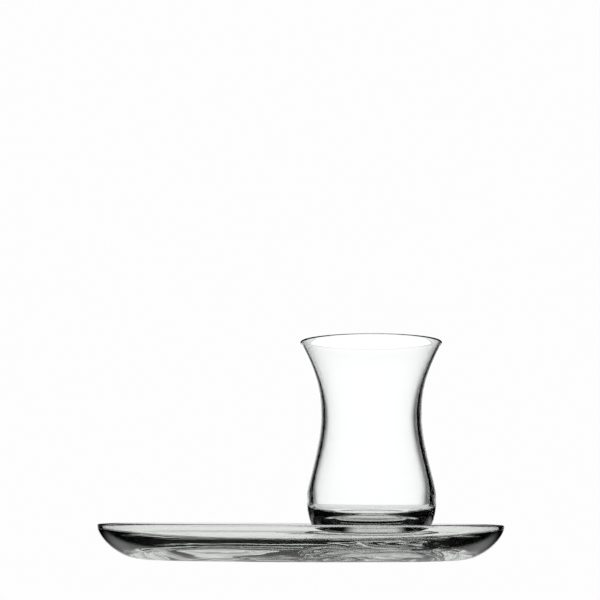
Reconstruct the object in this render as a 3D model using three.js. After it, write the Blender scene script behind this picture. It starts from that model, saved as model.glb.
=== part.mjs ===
// An empty waisted tea glass standing in the round well of a long oval glass saucer.
// Millimetres, +Z up. The origin is on the table under the middle of the saucer, and +X runs
// along the saucer towards the end where the glass stands.
import * as THREE from "three";
import { ParametricGeometry } from "three/addons/geometries/ParametricGeometry.js";

// Driving dimensions of the tea glass, with heights counted from its own foot.
const GLASS_HEIGHT = 87;
const FOOT_RADIUS = 17.7;
const FOOT_PULL = 5.9;
const BELLY_RADIUS = 27.55;
const BELLY_HEIGHT = 19.4;
const BELLY_PULL_DOWN = 10.9;
const BELLY_PULL_UP = 7.8;
const WAIST_RADIUS = 21.8;
const WAIST_HEIGHT = 54;
const WAIST_PULL_DOWN = 11.7;
const WAIST_PULL_UP = 4.5;
const LIP_RADIUS = 0.65;
const LIP_CENTRE_RADIUS = 30;
const FLARE_SLOPE = 0.55;
const FLARE_PULL = 18;
const FLOOR_HEIGHT = 10.4;
const FLOOR_PULL = 25;
const WAIST_WALL = 2.2;
const BELLY_WALL = 2.7;
const INNER_BELLY_HEIGHT = 21.5;
const INNER_BELLY_PULL = 8.8;
const PUNT_RADIUS = 14.5;
const PUNT_RISE = 0.9;

// Driving dimensions of the saucer, with heights counted from the table.
const SAUCER_LENGTH = 172;
const SAUCER_DEPTH = 110;
const SAUCER_HEIGHT = 15;
const OVAL_POWER = 2.2;
const EDGE_RADIUS = 1;
const OUTER_REACH = 17.5;
const OUTER_POWER = 1.6;
const INNER_REACH_ALONG = 23;
const INNER_REACH_ACROSS = 17.5;
const INNER_POWER = 1.8;
const DISH_FLOOR = 5.7;
const FOOT_LAND = 3;
const RECESS_CENTRE_X = 31.5;
const RECESS_RADIUS = 28;
const RECESS_RISE = 1.2;
const WELL_CENTRE_X = 30;
const WELL_RING_RADIUS = 27.5;
const WELL_RING_WIDTH = 3;
const WELL_RING_HEIGHT = 1.4;
const SEAT_GAP = 0.3;

// How finely the round surfaces are faceted.
const GLASS_SEGMENTS = 48;
const GLASS_STEPS = 6;
const SAUCER_SEGMENTS = 64;
const WALL_STEPS = 7;
const EDGE_STEPS = 4;
const RING_STEPS = 4;
const FLOOR_STEPS = 5;

const clearGlass = new THREE.MeshStandardMaterial({
  color: 0xeef2f1,
  roughness: 0.02,
  metalness: 0,
  transparent: true,
  opacity: 0.35,
});

// Half of the glass's section, from the middle of its foot round to the middle of its inside
// floor: a round foot, a full belly, a narrow waist and a flared mouth, closed over the
// rounded lip, and a thick base under the drink.
function glassSection() {
  const flareAngle = -Math.atan(FLARE_SLOPE);
  const lipHeight = GLASS_HEIGHT - LIP_RADIUS;
  const lipReach = LIP_RADIUS * Math.cos(flareAngle);
  const lipDrop = LIP_RADIUS * Math.sin(flareAngle);
  const innerWaist = WAIST_RADIUS - WAIST_WALL;
  const innerBelly = BELLY_RADIUS - BELLY_WALL;

  // The outside, from the hollow under the foot up to the lip.
  const section = new THREE.Path();
  section.moveTo(0, PUNT_RISE);
  section.quadraticCurveTo(PUNT_RADIUS * 0.7, PUNT_RISE, PUNT_RADIUS, 0);
  section.lineTo(FOOT_RADIUS, 0);
  section.bezierCurveTo(
    FOOT_RADIUS + FOOT_PULL,
    FOOT_PULL,
    BELLY_RADIUS,
    BELLY_HEIGHT - BELLY_PULL_DOWN,
    BELLY_RADIUS,
    BELLY_HEIGHT,
  );
  section.bezierCurveTo(
    BELLY_RADIUS,
    BELLY_HEIGHT + BELLY_PULL_UP,
    WAIST_RADIUS,
    WAIST_HEIGHT - WAIST_PULL_DOWN,
    WAIST_RADIUS,
    WAIST_HEIGHT,
  );
  section.bezierCurveTo(
    WAIST_RADIUS,
    WAIST_HEIGHT + WAIST_PULL_UP,
    LIP_CENTRE_RADIUS + lipReach - FLARE_PULL * FLARE_SLOPE,
    lipHeight + lipDrop - FLARE_PULL,
    LIP_CENTRE_RADIUS + lipReach,
    lipHeight + lipDrop,
  );

  // The fire-rounded lip.
  for (let step = 1; step <= RING_STEPS; step++) {
    const turn = flareAngle + (step / RING_STEPS) * Math.PI;
    section.lineTo(
      LIP_CENTRE_RADIUS + LIP_RADIUS * Math.cos(turn),
      lipHeight + LIP_RADIUS * Math.sin(turn),
    );
  }

  // The inside, from the lip down to the floor.
  section.bezierCurveTo(
    LIP_CENTRE_RADIUS - lipReach - FLARE_PULL * FLARE_SLOPE,
    lipHeight - lipDrop - FLARE_PULL,
    innerWaist,
    WAIST_HEIGHT + WAIST_PULL_UP,
    innerWaist,
    WAIST_HEIGHT,
  );
  section.bezierCurveTo(
    innerWaist,
    WAIST_HEIGHT - WAIST_PULL_DOWN,
    innerBelly,
    INNER_BELLY_HEIGHT + BELLY_PULL_UP,
    innerBelly,
    INNER_BELLY_HEIGHT,
  );
  section.bezierCurveTo(
    innerBelly,
    INNER_BELLY_HEIGHT - INNER_BELLY_PULL,
    FLOOR_PULL,
    FLOOR_HEIGHT,
    0,
    FLOOR_HEIGHT,
  );
  return section.getPoints(GLASS_STEPS);
}

function makeTeaGlass() {
  const turned = new THREE.LatheGeometry(glassSection(), GLASS_SEGMENTS);
  const glass = new THREE.Mesh(turned.rotateX(Math.PI / 2), clearGlass);
  glass.name = "tea_glass";
  glass.position.set(WELL_CENTRE_X, 0, DISH_FLOOR + SEAT_GAP);
  return glass;
}

// One point of the saucer's oval outline at the turn angle, drawn in along and across it.
function ovalPoint(angle, insetAlong, insetAcross = insetAlong) {
  const soften = (value) =>
    Math.sign(value) * Math.abs(value) ** (2 / OVAL_POWER);
  return new THREE.Vector2(
    (SAUCER_LENGTH / 2 - insetAlong) * soften(Math.cos(angle)),
    (SAUCER_DEPTH / 2 - insetAcross) * soften(Math.sin(angle)),
  );
}

// One point of a circle round the well, in line with the oval's point at the same angle.
function wellPoint(angle, radius) {
  const centre = new THREE.Vector2(WELL_CENTRE_X, 0);
  const direction = ovalPoint(angle, OUTER_REACH).sub(centre).normalize();
  return direction.multiplyScalar(radius).add(centre);
}

// How far the underside is raised off the table at a point: two shallow round recesses, one
// under the well and one under the other end.
function recessRise(point) {
  const offset = Math.abs(point.x) - RECESS_CENTRE_X;
  const share = Math.hypot(offset, point.y) / RECESS_RADIUS;
  return share < 1 ? RECESS_RISE * (1 - share ** 2) ** 1.5 : 0;
}

// The saucer's surface as rings, from the middle of the underside, out over the edge, and in
// to the middle of the well. A ring is a circle round the well (share 0), the oval drawn in by
// its insets (share 1), or a blend of the two.
function saucerRings() {
  const rings = [];
  const addRing = (share, radius, insets, height) =>
    rings.push((angle) => {
      const point = wellPoint(angle, radius);
      point.lerp(ovalPoint(angle, ...insets), share);
      const z = typeof height === "function" ? height(point) : height;
      return new THREE.Vector3(point.x, point.y, z);
    });
  const landInsets = [OUTER_REACH + FOOT_LAND];
  const innerInsets = (reach) => [
    2 * EDGE_RADIUS + INNER_REACH_ALONG * (1 - reach),
    2 * EDGE_RADIUS + INNER_REACH_ACROSS * (1 - reach),
  ];
  const edgeHeight = SAUCER_HEIGHT - EDGE_RADIUS;

  // The underside, out to the flat land that the saucer stands on.
  for (let step = 0; step < FLOOR_STEPS; step++) {
    addRing(0, (step / FLOOR_STEPS) * RECESS_RADIUS, landInsets, recessRise);
  }
  for (let step = 0; step < FLOOR_STEPS; step++) {
    addRing(step / FLOOR_STEPS, RECESS_RADIUS, landInsets, recessRise);
  }
  addRing(1, 0, landInsets, 0);

  // The outer wall curls up from the land to the edge.
  for (let step = 0; step < WALL_STEPS; step++) {
    const turn = ((step / WALL_STEPS) * Math.PI) / 2;
    const reach = Math.sin(turn) ** (2 / OUTER_POWER);
    const rise = 1 - Math.cos(turn) ** (2 / OUTER_POWER);
    addRing(1, 0, [OUTER_REACH * (1 - reach)], edgeHeight * rise);
  }

  // The rounded edge.
  for (let step = 0; step <= EDGE_STEPS; step++) {
    const turn = (step / EDGE_STEPS) * Math.PI;
    const inset = EDGE_RADIUS * (1 - Math.cos(turn));
    addRing(1, 0, [inset], edgeHeight + EDGE_RADIUS * Math.sin(turn));
  }

  // The inner wall falls to the dish floor.
  for (let step = WALL_STEPS - 1; step >= 0; step--) {
    const turn = ((step / WALL_STEPS) * Math.PI) / 2;
    const reach = Math.sin(turn) ** (2 / INNER_POWER);
    const rise = 1 - Math.cos(turn) ** (2 / INNER_POWER);
    const height = DISH_FLOOR + rise * (edgeHeight - DISH_FLOOR);
    addRing(1, 0, innerInsets(reach), height);
  }

  // The floor, and the low rounded ring that marks the well.
  const ringOutside = WELL_RING_RADIUS + WELL_RING_WIDTH / 2;
  addRing(0.5, ringOutside, innerInsets(0), DISH_FLOOR);
  for (let step = 0; step <= RING_STEPS; step++) {
    const radius = ringOutside - (step / RING_STEPS) * WELL_RING_WIDTH;
    const swell = WELL_RING_HEIGHT * Math.sin((step / RING_STEPS) * Math.PI);
    addRing(0, radius, landInsets, DISH_FLOOR + swell);
  }
  addRing(0, ringOutside / 2, landInsets, DISH_FLOOR);
  addRing(0, 0, landInsets, DISH_FLOOR);
  return rings;
}

function makeSaucer() {
  const rings = saucerRings();
  const surface = (around, along, target) => {
    const ring = rings[Math.round(along * (rings.length - 1))];
    target.copy(ring((around % 1) * 2 * Math.PI));
  };
  const skin = new ParametricGeometry(
    surface,
    SAUCER_SEGMENTS,
    rings.length - 1,
  );
  const saucer = new THREE.Mesh(skin, clearGlass);
  saucer.name = "saucer";
  return saucer;
}

const teaSet = new THREE.Group();
teaSet.add(makeTeaGlass(), makeSaucer());

export default teaSet;
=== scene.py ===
import math

import bmesh
import bpy
from mathutils import Euler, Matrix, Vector


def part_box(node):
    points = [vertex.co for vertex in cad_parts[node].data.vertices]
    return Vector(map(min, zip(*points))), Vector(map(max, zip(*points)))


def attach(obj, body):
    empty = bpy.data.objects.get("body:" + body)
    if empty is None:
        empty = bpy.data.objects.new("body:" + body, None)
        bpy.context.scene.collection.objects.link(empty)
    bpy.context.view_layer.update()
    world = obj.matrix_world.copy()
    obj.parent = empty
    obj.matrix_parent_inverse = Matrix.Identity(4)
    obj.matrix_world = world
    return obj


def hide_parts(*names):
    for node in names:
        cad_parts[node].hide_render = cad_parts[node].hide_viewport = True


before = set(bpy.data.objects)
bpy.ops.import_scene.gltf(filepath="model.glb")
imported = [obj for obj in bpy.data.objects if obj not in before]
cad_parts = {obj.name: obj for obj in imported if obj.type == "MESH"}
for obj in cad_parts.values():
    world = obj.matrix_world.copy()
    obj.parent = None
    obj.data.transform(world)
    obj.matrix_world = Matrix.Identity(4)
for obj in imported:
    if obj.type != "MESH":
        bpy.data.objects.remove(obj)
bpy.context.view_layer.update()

scene = bpy.context.scene

# The camera stands at arm's length with its lens a little above the saucer's edge, and looks up
# slightly, so that the mouth of the glass is seen from below and the saucer from the side. The
# square frame's rows are counted in pixels.
MM = 0.001
EYE_DISTANCE = 650 * MM
EYE_HEIGHT = 18.7 * MM
EYE_ASIDE = -0.7 * MM
FRAME_WIDTH_AT_GLASS = 255 * MM
FRAME_ROWS = 600
HORIZON_ROWS_BELOW_CENTRE = 215
SENSOR_WIDTH = 36
CAMERA_ROLL = math.radians(0.22)

camera_data = bpy.data.cameras.new("photo_camera")
camera_data.sensor_width = SENSOR_WIDTH
horizon_drop = HORIZON_ROWS_BELOW_CENTRE / FRAME_ROWS * FRAME_WIDTH_AT_GLASS
pitch = math.asin(horizon_drop / EYE_DISTANCE)
camera_data.lens = SENSOR_WIDTH * EYE_DISTANCE * math.cos(pitch) / FRAME_WIDTH_AT_GLASS
camera = bpy.data.objects.new("photo_camera", camera_data)
camera.location = (EYE_ASIDE, -EYE_DISTANCE, EYE_HEIGHT)
look = Euler((math.pi / 2 + pitch, 0, 0)).to_matrix().to_4x4()
roll = Euler((0, 0, CAMERA_ROLL)).to_matrix().to_4x4()
camera.rotation_euler = (look @ roll).to_euler()
scene.collection.objects.link(camera)
scene.camera = camera


# The tea glass is one blown piece of clear soda-lime glass, fire polished at its lip, with a
# thick solid base. It stands loose in the saucer's well. Half of its section is drawn as a
# chain of edges and turned once round its axis. Its heights are counted from its own foot.
FOOT_RADIUS = 17.7 * MM
FOOT_PULL = 5.9 * MM
PUNT_RADIUS = 14.5 * MM
PUNT_RISE = 0.9 * MM
PUNT_BEND = 0.7
BELLY_RADIUS = 27.55 * MM
BELLY_HEIGHT = 19.4 * MM
BELLY_PULL_DOWN = 10.9 * MM
BELLY_PULL_UP = 7.8 * MM
BELLY_WALL = 2.7 * MM
WAIST_RADIUS = 21.8 * MM
WAIST_HEIGHT = 54 * MM
WAIST_PULL_DOWN = 11.7 * MM
WAIST_PULL_UP = 4.5 * MM
WAIST_WALL = 2.2 * MM
LIP_RADIUS = 0.65 * MM
LIP_CENTRE_RADIUS = 30 * MM
FLARE_SLOPE = 0.55
FLARE_PULL = 18 * MM
INNER_BELLY_HEIGHT = 21.5 * MM
INNER_BELLY_PULL = 8.8 * MM
FLOOR_HEIGHT = 10.4 * MM
FLOOR_PULL = 25 * MM
GLASS_SEGMENTS = 192
CURVE_STEPS = 28
LIP_STEPS = 12
WELD_DISTANCE = 0.001 * MM

GLASS_REFRACTION = 1.51
GLASS_DEPTH_TINT = (0.25, 0.31, 0.26, 1)
GLASS_DEPTH_DENSITY = 9
BLOWN_TINT = (0.985, 0.99, 0.988, 1)
# Painted shade: the tea glass's lip gets this darker colour, standing in for the dark line that its
# rim shows in light.
BLOWN_PAINTED_RIM_SHADE = (0.8, 0.81, 0.8, 1)
BLOWN_WAVES = (14 * MM, 14 * MM, 42 * MM)
BLOWN_WAVE_DEPTH = 0.004 * MM
WAVE_DETAIL = 1.5
WAVE_TWIST = 0.6
# How far down from the top edge the painted shade of the rim reaches.
PAINTED_RIM_SHADE_DEPTH = 0.5 * MM
WEAR_HEIGHT = 0.4 * MM
WEAR_ROUGHNESS = 0.05
WEAR_SCRATCH = 0.6 * MM


class Finish:
    """A node tree, and the one way that a node is added to it."""

    def __init__(self, tree):
        self.tree = tree
        tree.nodes.clear()

    def node(self, kind, settings=None, sockets=None, output=0):
        made = self.tree.nodes.new(kind)
        for name, value in (settings or {}).items():
            setattr(made, name, value)
        for name, value in (sockets or {}).items():
            if isinstance(value, Wire):
                self.tree.links.new(value.socket, made.inputs[name])
            else:
                made.inputs[name].default_value = value
        return Wire(self, made.outputs[output]) if made.outputs else made


class Wire:
    """An output socket, whose sums and products add their Math nodes."""

    def __init__(self, finish, socket):
        self.finish = finish
        self.socket = socket

    def math(self, operation, *values):
        return self.finish.node("ShaderNodeMath", {"operation": operation}, dict(enumerate(values)))

    def __add__(self, other):
        return self.math("ADD", self, other)

    def __sub__(self, other):
        return self.math("SUBTRACT", self, other)

    def __rsub__(self, other):
        return self.math("SUBTRACT", other, self)

    def __mul__(self, other):
        return self.math("MULTIPLY", self, other)

    __radd__ = __add__
    __rmul__ = __mul__

    def within(self, start, full):
        """Nothing at start, one at full, and a smooth rise between. Start may be the greater."""
        return self.finish.node(
            "ShaderNodeMapRange",
            {"interpolation_type": "SMOOTHSTEP"},
            {"Value": self, "From Min": start, "From Max": full},
        )

    def part(self, index):
        """One coordinate of a vector."""
        return self.finish.node("ShaderNodeSeparateXYZ", {}, {"Vector": self}, index)

    def greater(self, other):
        return self.math("MAXIMUM", self, other)


def clear_glass(name, low, high, tint, painted_rim_shade, wave_size, wave_depth):
    """Clear glass between two heights: wavy skin, painted shade on the top edge and a worn foot.

    The glass takes a trace of green with depth.
    """
    material = bpy.data.materials.new(name)
    material.use_nodes = True
    finish = Finish(material.node_tree)
    place = finish.node("ShaderNodeTexCoord", output="Object")
    level = place.part(2)
    # Painted shade: the colour turns darker over the top of the piece, standing in for the dark
    # line that the rim shows in light.
    edge = level.within(high - PAINTED_RIM_SHADE_DEPTH, high)
    colour = finish.node(
        "ShaderNodeMix", {"data_type": "RGBA"}, {0: edge, 6: tint, 7: painted_rim_shade}, output=2
    )
    scratches = finish.node("ShaderNodeTexNoise", {}, {"Vector": place, "Scale": 1 / WEAR_SCRATCH})
    wear = (1 - level.within(low, low + WEAR_HEIGHT)) * scratches * WEAR_ROUGHNESS
    wave_scale = [1 / size for size in wave_size]
    stretched = finish.node("ShaderNodeMapping", {}, {"Vector": place, "Scale": wave_scale})
    waves = finish.node(
        "ShaderNodeTexNoise",
        {},
        {"Vector": stretched, "Scale": 1, "Detail": WAVE_DETAIL, "Distortion": WAVE_TWIST},
    )
    skin = finish.node(
        "ShaderNodeBump", {}, {"Height": waves, "Strength": 1, "Distance": wave_depth}
    )
    glass = finish.node(
        "ShaderNodeBsdfPrincipled",
        {},
        {
            "Base Color": colour,
            "Roughness": wear,
            "IOR": GLASS_REFRACTION,
            "Transmission Weight": 1,
            "Normal": skin,
        },
    )
    depth = finish.node(
        "ShaderNodeVolumeAbsorption",
        {},
        {"Color": GLASS_DEPTH_TINT, "Density": GLASS_DEPTH_DENSITY},
    )
    finish.node("ShaderNodeOutputMaterial", {}, {"Surface": glass, "Volume": depth})
    return material


def bezier(start, pull_out, pull_in, end):
    """The points of one smooth span, without its first."""
    points = []
    for step in range(1, CURVE_STEPS + 1):
        t = step / CURVE_STEPS
        s = 1 - t
        points.append(
            start * s**3 + pull_out * (3 * s * s * t) + pull_in * (3 * s * t * t) + end * t**3
        )
    return points


def glass_section(height):
    """Half of the section as points of radius and height, from under the foot to the floor."""
    up = Vector((0, 1))
    out = Vector((1, 0))
    punt = Vector((0, PUNT_RISE))
    punt_bend = Vector((PUNT_RADIUS * PUNT_BEND, PUNT_RISE))
    punt_edge = Vector((PUNT_RADIUS, 0))
    foot = Vector((FOOT_RADIUS, 0))
    belly = Vector((BELLY_RADIUS, BELLY_HEIGHT))
    waist = Vector((WAIST_RADIUS, WAIST_HEIGHT))
    lip = Vector((LIP_CENTRE_RADIUS, height - LIP_RADIUS))
    flare = math.atan(FLARE_SLOPE)
    lip_side = Vector((math.cos(flare), -math.sin(flare))) * LIP_RADIUS
    lip_pull = Vector((FLARE_SLOPE, 1)) * FLARE_PULL
    inner_waist = Vector((WAIST_RADIUS - WAIST_WALL, WAIST_HEIGHT))
    inner_belly = Vector((BELLY_RADIUS - BELLY_WALL, INNER_BELLY_HEIGHT))
    floor = Vector((0, FLOOR_HEIGHT))

    points = [punt]
    points += bezier(punt, punt_bend, punt_bend, punt_edge)
    points += [foot]
    points += bezier(foot, foot + (out + up) * FOOT_PULL, belly - up * BELLY_PULL_DOWN, belly)
    points += bezier(belly, belly + up * BELLY_PULL_UP, waist - up * WAIST_PULL_DOWN, waist)
    points += bezier(waist, waist + up * WAIST_PULL_UP, lip + lip_side - lip_pull, lip + lip_side)
    for step in range(1, LIP_STEPS + 1):
        turn = step / LIP_STEPS * math.pi - flare
        points.append(lip + Vector((math.cos(turn), math.sin(turn))) * LIP_RADIUS)
    points += bezier(
        lip - lip_side, lip - lip_side - lip_pull, inner_waist + up * WAIST_PULL_UP, inner_waist
    )
    points += bezier(
        inner_waist,
        inner_waist - up * WAIST_PULL_DOWN,
        inner_belly + up * BELLY_PULL_UP,
        inner_belly,
    )
    points += bezier(
        inner_belly, inner_belly - up * INNER_BELLY_PULL, floor + out * FLOOR_PULL, floor
    )
    return points


def turned_form(section, foot_centre):
    """The section as a chain of edges, turned once round the upright axis through the foot."""
    form = bmesh.new()
    last = form.verts.new(foot_centre + Vector((section[0].x, 0, section[0].y)))
    for point in section[1:]:
        last = bmesh.ops.extrude_vert_indiv(form, verts=[last])["verts"][0]
        last.co = foot_centre + Vector((point.x, 0, point.y))
    bmesh.ops.spin(
        form,
        geom=form.verts[:] + form.edges[:],
        cent=foot_centre,
        axis=(0, 0, 1),
        angle=2 * math.pi,
        steps=GLASS_SEGMENTS,
        use_merge=True,
    )
    bmesh.ops.remove_doubles(form, verts=form.verts, dist=WELD_DISTANCE)
    bmesh.ops.recalc_face_normals(form, faces=form.faces)
    return form


def finished_piece(name, form, material):
    """The form as a smooth object with its material."""
    mesh = bpy.data.meshes.new(name)
    form.to_mesh(mesh)
    form.free()
    mesh.shade_smooth()
    mesh.materials.append(material)
    piece = bpy.data.objects.new(name, mesh)
    scene.collection.objects.link(piece)
    return piece


glass_low, glass_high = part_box("tea_glass")
foot_centre = Vector(((glass_low.x + glass_high.x) / 2, 0, glass_low.z))
blown_glass = clear_glass(
    "blown_clear_glass",
    glass_low.z,
    glass_high.z,
    BLOWN_TINT,
    BLOWN_PAINTED_RIM_SHADE,
    BLOWN_WAVES,
    BLOWN_WAVE_DEPTH,
)
turned_glass = turned_form(glass_section(glass_high.z - glass_low.z), foot_centre)
tea_glass = finished_piece("clear_tea_glass", turned_glass, blown_glass)
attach(tea_glass, "root")
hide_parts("tea_glass")


# The saucer is one piece of pressed clear glass: a long oval dish whose wall curls up to a
# rounded edge, with a low ring round the well that the tea glass stands in and two shallow
# recesses underneath. It is drawn out ring by ring, from under its middle round to the well.
EDGE_RADIUS = 1 * MM
OVAL_POWER = 2.2
OUTER_REACH = 17.5 * MM
OUTER_POWER = 1.6
INNER_REACH_ALONG = 23 * MM
INNER_REACH_ACROSS = 17.5 * MM
INNER_POWER = 1.8
DISH_FLOOR = 5.7 * MM
FOOT_LAND = 3 * MM
RECESS_CENTRE_X = 31.5 * MM
RECESS_RADIUS = 28 * MM
RECESS_RISE = 1.2 * MM
WELL_RING_RADIUS = 27.5 * MM
WELL_RING_WIDTH = 3 * MM
WELL_RING_HEIGHT = 1.4 * MM
SAUCER_SEGMENTS = 256
RECESS_STEPS = 20
WALL_STEPS = 32
EDGE_STEPS = 12
RING_STEPS = 16
FLOOR_STEPS = 4

PRESSED_TINT = (0.87, 0.88, 0.87, 1)
# Painted shade: the saucer's rounded top edge gets this dark colour, standing in for the dark line
# along its rim.
PRESSED_PAINTED_RIM_SHADE = (0.3, 0.31, 0.3, 1)
PRESSED_WAVES = (36 * MM, 12 * MM, 12 * MM)
PRESSED_WAVE_DEPTH = 0.06 * MM

saucer_low, saucer_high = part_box("saucer")
saucer_half = saucer_high.xy
saucer_height = saucer_high.z
all_round = Vector((1, 1))
foot_half = saucer_half - all_round * OUTER_REACH


def oval_point(angle, half):
    """A point of the oval whose half length and half depth are given."""
    reach = Vector((math.cos(angle), math.sin(angle)))
    softened = [math.copysign(abs(share) ** (2 / OVAL_POWER), share) for share in reach]
    return Vector((half.x * softened[0], half.y * softened[1]))


def ring_of_points(share, radius, half, height, recessed=False):
    """A circle round the well at share 0, the oval at share 1, or a blend of the two."""
    points = []
    for turn in range(SAUCER_SEGMENTS):
        angle = turn / SAUCER_SEGMENTS * 2 * math.pi
        outward = (oval_point(angle, foot_half) - foot_centre.xy).normalized()
        point = (foot_centre.xy + outward * radius).lerp(oval_point(angle, half), share)
        rise = 0
        if recessed:
            away = math.hypot(abs(point.x) - RECESS_CENTRE_X, point.y) / RECESS_RADIUS
            rise = RECESS_RISE * max(1 - away**2, 0) ** 1.5
        points.append(Vector((point.x, point.y, height + rise)))
    return points


def wall_shares(step, power):
    """How far the curled wall has come in and up at a step."""
    turn = step / WALL_STEPS * math.pi / 2
    return math.sin(turn) ** (2 / power), 1 - math.cos(turn) ** (2 / power)


def saucer_rings():
    """The rings of the saucer's skin, from under its middle out over the edge to the well."""
    land_half = foot_half - all_round * FOOT_LAND
    inner_reach = Vector((INNER_REACH_ALONG, INNER_REACH_ACROSS))
    floor_half = saucer_half - all_round * 2 * EDGE_RADIUS - inner_reach
    edge_height = saucer_height - EDGE_RADIUS
    for step in range(1, RECESS_STEPS):
        yield ring_of_points(0, step / RECESS_STEPS * RECESS_RADIUS, land_half, 0, recessed=True)
    for step in range(RECESS_STEPS):
        yield ring_of_points(step / RECESS_STEPS, RECESS_RADIUS, land_half, 0, recessed=True)
    yield ring_of_points(1, 0, land_half, 0)
    for step in range(WALL_STEPS):
        reach, rise = wall_shares(step, OUTER_POWER)
        yield ring_of_points(1, 0, foot_half + all_round * OUTER_REACH * reach, edge_height * rise)
    for step in range(EDGE_STEPS + 1):
        turn = step / EDGE_STEPS * math.pi
        half = saucer_half - all_round * EDGE_RADIUS * (1 - math.cos(turn))
        yield ring_of_points(1, 0, half, edge_height + EDGE_RADIUS * math.sin(turn))
    for step in reversed(range(WALL_STEPS)):
        reach, rise = wall_shares(step, INNER_POWER)
        height = DISH_FLOOR + rise * (edge_height - DISH_FLOOR)
        yield ring_of_points(1, 0, floor_half + inner_reach * reach, height)
    ring_outside = WELL_RING_RADIUS + WELL_RING_WIDTH / 2
    ring_inside = WELL_RING_RADIUS - WELL_RING_WIDTH / 2
    for step in range(1, FLOOR_STEPS):
        yield ring_of_points(1 - step / FLOOR_STEPS, ring_outside, floor_half, DISH_FLOOR)
    for step in range(RING_STEPS + 1):
        across = step / RING_STEPS
        swell = WELL_RING_HEIGHT * math.sin(across * math.pi) ** 2
        radius = ring_outside - across * WELL_RING_WIDTH
        yield ring_of_points(0, radius, floor_half, DISH_FLOOR + swell)
    for step in range(1, FLOOR_STEPS + 1):
        radius = ring_inside * (1 - step / (FLOOR_STEPS + 1))
        yield ring_of_points(0, radius, floor_half, DISH_FLOOR)


def pressed_form():
    """A circle that is placed on the first ring and extruded from ring to ring."""
    form = bmesh.new()
    verts = bmesh.ops.create_circle(form, segments=SAUCER_SEGMENTS, radius=1)["verts"]
    edges = form.edges[:]
    for number, points in enumerate(saucer_rings()):
        if number:
            grown = bmesh.ops.extrude_edge_only(form, edges=edges)["geom"]
            verts = [part for part in grown if isinstance(part, bmesh.types.BMVert)]
            edges = [part for part in grown if isinstance(part, bmesh.types.BMEdge)]
            edges = [edge for edge in edges if edge.is_boundary]
        for vert, point in zip(verts, points):
            vert.co = point
    bmesh.ops.holes_fill(form, edges=[edge for edge in form.edges if edge.is_boundary], sides=0)
    bmesh.ops.recalc_face_normals(form, faces=form.faces)
    return form


pressed_glass = clear_glass(
    "pressed_clear_glass",
    saucer_low.z,
    saucer_high.z,
    PRESSED_TINT,
    PRESSED_PAINTED_RIM_SHADE,
    PRESSED_WAVES,
    PRESSED_WAVE_DEPTH,
)
saucer = finished_piece("clear_oval_saucer", pressed_form(), pressed_glass)
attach(saucer, "root")
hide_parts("saucer")


# The studio is a dark room with a sheet of white paper hung behind the object, a lit white table
# and a trace of light from above. Clear glass shows them bent: bright where it looks straight on
# to the sheet, and black where it turns the view past the sheet's soft edge. The angles are in
# degrees, above the horizon or away from straight behind the object.
PAPER = 0.985
PANEL_GLOW = 1.25
PANEL_FULL_ANGLE = 11
PANEL_DARK_ANGLE = 23
PANEL_TOP = 3
PANEL_TOP_DARK = 30
PANEL_FOOT = -6
PANEL_FOOT_DARK = -26
TABLE_GLOW = 0.9
TABLE_DARK = -12
TABLE_FULL = -35
TABLE_SIDE = 40
TABLE_SIDE_DARK = 55
TABLE_STEEP = -45
TABLE_BENEATH_DARK = -70
TABLE_BENEATH = 0.15
ABOVE_DARK = 10
ABOVE_FULL = 22
ABOVE_GLOW = 0.02
ABOVE_SIDE = 25
ABOVE_SIDE_FULL = 50
SIDE_GAP = 20
SIDE_GAP_END = 32
WHOLE_TABLE_DARK = -6
WHOLE_TABLE_FULL = -14
SHEET_FOOT = -40
SHEET_FOOT_END = -55
DEGREES = 180 / math.pi

world = bpy.data.worlds.new("studio")
scene.world = world
world.use_nodes = True
studio = Finish(world.node_tree)
direction = studio.node("ShaderNodeTexCoord", output="Generated")
across, along, height = (direction.part(index) for index in range(3))
turned = across.math("ABSOLUTE", across.math("ARCTAN2", across, along) * DEGREES)
lifted = across.math("ARCSINE", height) * DEGREES
panel_foot = lifted.within(PANEL_FOOT_DARK, PANEL_FOOT)
panel_height = panel_foot * (1 - lifted.within(PANEL_TOP, PANEL_TOP_DARK))
behind = (1 - turned.within(PANEL_FULL_ANGLE, PANEL_DARK_ANGLE)) * panel_height
ahead = 1 - turned.within(TABLE_SIDE, TABLE_SIDE_DARK)
beneath = lifted.within(TABLE_STEEP, TABLE_BENEATH_DARK) * TABLE_BENEATH
table = lifted.within(TABLE_DARK, TABLE_FULL) * ahead.greater(beneath)
above = lifted.within(ABOVE_DARK, ABOVE_FULL) * turned.within(ABOVE_SIDE, ABOVE_SIDE_FULL)
lit = (behind * PANEL_GLOW + table * TABLE_GLOW).greater(above * ABOVE_GLOW)

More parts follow.
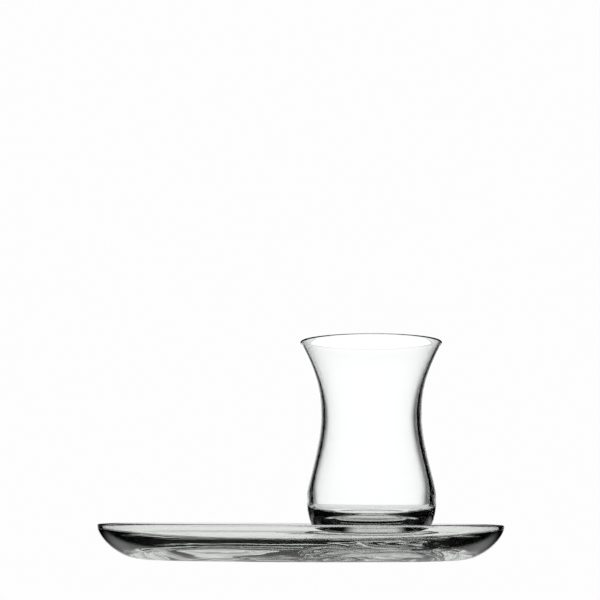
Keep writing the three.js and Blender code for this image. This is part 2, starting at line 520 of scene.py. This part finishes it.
# Rays that no surface has mirrored also see sheets to the sides and in front and all of the
# table, so that the glass is as clear from the sides and from above as it is from the front.
unmirrored = 1 - studio.node("ShaderNodeLightPath", output="Glossy Depth").within(0, 1)
beside = across.math("ABSOLUTE", turned - 90)
side_panels = 1 - beside.within(PANEL_FULL_ANGLE, PANEL_DARK_ANGLE)
front_panel = turned.within(180 - PANEL_DARK_ANGLE, 180 - PANEL_FULL_ANGLE)
past_sheets = beside.within(SIDE_GAP, SIDE_GAP_END)
past_sheets = past_sheets.greater(lifted.within(SHEET_FOOT, SHEET_FOOT_END))
whole_table = lifted.within(WHOLE_TABLE_DARK, WHOLE_TABLE_FULL) * past_sheets
around = ((side_panels + front_panel) * panel_height).greater(whole_table)
glow = lit.greater(unmirrored * around * PANEL_GLOW)
seen = studio.node("ShaderNodeLightPath", output="Is Camera Ray")
strength = glow + seen * (PAPER - glow)
paper = studio.node("ShaderNodeBackground", {}, {"Color": (1, 1, 1, 1), "Strength": strength})
studio.node("ShaderNodeOutputWorld", {}, {"Surface": paper})

# The pale floor is the table's white paper, as bright as the backdrop that it runs into. The
# glass and the saucer see the studio's lit table in its place.
FLOOR_RADIUS = 250 * MM
FLOOR_SEGMENTS = 64
floor_form = bmesh.new()
bmesh.ops.create_circle(floor_form, cap_ends=True, segments=FLOOR_SEGMENTS, radius=FLOOR_RADIUS)
floor_finish = bpy.data.materials.new("white_paper")
floor_finish.use_nodes = True
sheet = Finish(floor_finish.node_tree)
bright = sheet.node("ShaderNodeEmission", {}, {"Color": (1, 1, 1, 1), "Strength": PAPER})
sheet.node("ShaderNodeOutputMaterial", {}, {"Surface": bright})
floor = finished_piece("pale_floor", floor_form, floor_finish)
floor.visible_diffuse = False
floor.visible_glossy = False
floor.visible_transmission = False
floor.visible_shadow = False

# Light is followed through the glass until it gets out, and the picture keeps plain white.
LIGHT_BOUNCES = 48
scene.view_settings.view_transform = "Standard"
scene.cycles.max_bounces = LIGHT_BOUNCES
scene.cycles.glossy_bounces = LIGHT_BOUNCES
scene.cycles.transmission_bounces = LIGHT_BOUNCES
